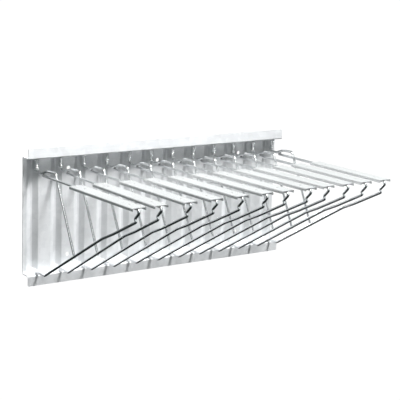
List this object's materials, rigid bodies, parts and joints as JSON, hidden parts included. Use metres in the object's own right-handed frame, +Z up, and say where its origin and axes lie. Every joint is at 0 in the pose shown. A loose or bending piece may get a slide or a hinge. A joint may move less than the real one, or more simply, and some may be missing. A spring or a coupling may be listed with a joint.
{
  "type": "swing arm wall rack",
  "caption": "Wall rack: a grooved channel panel with a row of hinged triangular wire arms, each with a flat hanger rail and a sprung top pivot.",
  "frame": {"origin": "centre of the wall-screw holes, on the back face of the panel's flats, 7 mm in front of the wall", "axes": "+X right along the wall, +Y into the wall, so the arms point to -Y, +Z up"},
  "size_m": [0.6053, 0.3664, 0.2666],
  "materials": {
    "panel_sheet": "satin zinc-plated sheet",
    "bright_wire": "bright plated steel wire",
    "rail_strip": "bright satin strip",
    "spring_steel": "bright spring wire",
    "washer_steel": "plated washer"
  },
  "bodies": {
    "root": {"back_panel": "panel_sheet", "pivot_springs": "spring_steel", "spring_seats": "washer_steel"},
    "arm_01": {"frame_wire_01": "bright_wire", "brace_wire_01": "bright_wire", "hanger_rail_01": "rail_strip"},
    "arm_02": {"frame_wire_02": "bright_wire", "brace_wire_02": "bright_wire", "hanger_rail_02": "rail_strip"},
    "arm_03": {"frame_wire_03": "bright_wire", "brace_wire_03": "bright_wire", "hanger_rail_03": "rail_strip"},
    "arm_04": {"frame_wire_04": "bright_wire", "brace_wire_04": "bright_wire", "hanger_rail_04": "rail_strip"},
    "arm_05": {"frame_wire_05": "bright_wire", "brace_wire_05": "bright_wire", "hanger_rail_05": "rail_strip"},
    "arm_06": {"frame_wire_06": "bright_wire", "brace_wire_06": "bright_wire", "hanger_rail_06": "rail_strip"},
    "arm_07": {"frame_wire_07": "bright_wire", "brace_wire_07": "bright_wire", "hanger_rail_07": "rail_strip"},
    "arm_08": {"frame_wire_08": "bright_wire", "brace_wire_08": "bright_wire", "hanger_rail_08": "rail_strip"},
    "arm_09": {"frame_wire_09": "bright_wire", "brace_wire_09": "bright_wire", "hanger_rail_09": "rail_strip"},
    "arm_10": {"frame_wire_10": "bright_wire", "brace_wire_10": "bright_wire", "hanger_rail_10": "rail_strip"},
    "arm_11": {"frame_wire_11": "bright_wire", "brace_wire_11": "bright_wire", "hanger_rail_11": "rail_strip"},
    "arm_12": {"frame_wire_12": "bright_wire", "brace_wire_12": "bright_wire", "hanger_rail_12": "rail_strip"}
  },
  "joints": [
    {"name": "arm_01_swing", "type": "hinge", "parent": "root", "child": "arm_01", "pos_m": [-0.2794, -0.0168, 0], "axis": [0, 0, 1], "range_deg": [-80, 0]},
    {"name": "arm_02_swing", "type": "hinge", "parent": "root", "child": "arm_02", "pos_m": [-0.2286, -0.0168, 0], "axis": [0, 0, 1], "range_deg": [-66.7, 0]},
    {"name": "arm_03_swing", "type": "hinge", "parent": "root", "child": "arm_03", "pos_m": [-0.1778, -0.0168, 0], "axis": [0, 0, 1], "range_deg": [-53.4, 0]},
    {"name": "arm_04_swing", "type": "hinge", "parent": "root", "child": "arm_04", "pos_m": [-0.127, -0.0168, 0], "axis": [0, 0, 1], "range_deg": [-40, 0]},
    {"name": "arm_05_swing", "type": "hinge", "parent": "root", "child": "arm_05", "pos_m": [-0.0762, -0.0168, 0], "axis": [0, 0, 1], "range_deg": [-26.7, 0]},
    {"name": "arm_06_swing", "type": "hinge", "parent": "root", "child": "arm_06", "pos_m": [-0.0254, -0.0168, 0], "axis": [0, 0, 1], "range_deg": [-13.4, 0]},
    {"name": "arm_07_swing", "type": "hinge", "parent": "root", "child": "arm_07", "pos_m": [0.0254, -0.0168, 0], "axis": [0, 0, 1], "range_deg": [0, 13.4]},
    {"name": "arm_08_swing", "type": "hinge", "parent": "root", "child": "arm_08", "pos_m": [0.0762, -0.0168, 0], "axis": [0, 0, 1], "range_deg": [0, 26.7]},
    {"name": "arm_09_swing", "type": "hinge", "parent": "root", "child": "arm_09", "pos_m": [0.127, -0.0168, 0], "axis": [0, 0, 1], "range_deg": [0, 40]},
    {"name": "arm_10_swing", "type": "hinge", "parent": "root", "child": "arm_10", "pos_m": [0.1778, -0.0168, 0], "axis": [0, 0, 1], "range_deg": [0, 53.4]},
    {"name": "arm_11_swing", "type": "hinge", "parent": "root", "child": "arm_11", "pos_m": [0.2286, -0.0168, 0], "axis": [0, 0, 1], "range_deg": [0, 66.7]},
    {"name": "arm_12_swing", "type": "hinge", "parent": "root", "child": "arm_12", "pos_m": [0.2794, -0.0168, 0], "axis": [0, 0, 1], "range_deg": [0, 80]}
  ],
  "couplings": [
    {"joint": "arm_02_swing", "follows": "arm_01_swing", "ratio": 0.83333},
    {"joint": "arm_03_swing", "follows": "arm_01_swing", "ratio": 0.66667},
    {"joint": "arm_04_swing", "follows": "arm_01_swing", "ratio": 0.5},
    {"joint": "arm_05_swing", "follows": "arm_01_swing", "ratio": 0.33333},
    {"joint": "arm_06_swing", "follows": "arm_01_swing", "ratio": 0.16667},
    {"joint": "arm_07_swing", "follows": "arm_12_swing", "ratio": 0.16667},
    {"joint": "arm_08_swing", "follows": "arm_12_swing", "ratio": 0.33333},
    {"joint": "arm_09_swing", "follows": "arm_12_swing", "ratio": 0.5},
    {"joint": "arm_10_swing", "follows": "arm_12_swing", "ratio": 0.66667},
    {"joint": "arm_11_swing", "follows": "arm_12_swing", "ratio": 0.83333}
  ]
}
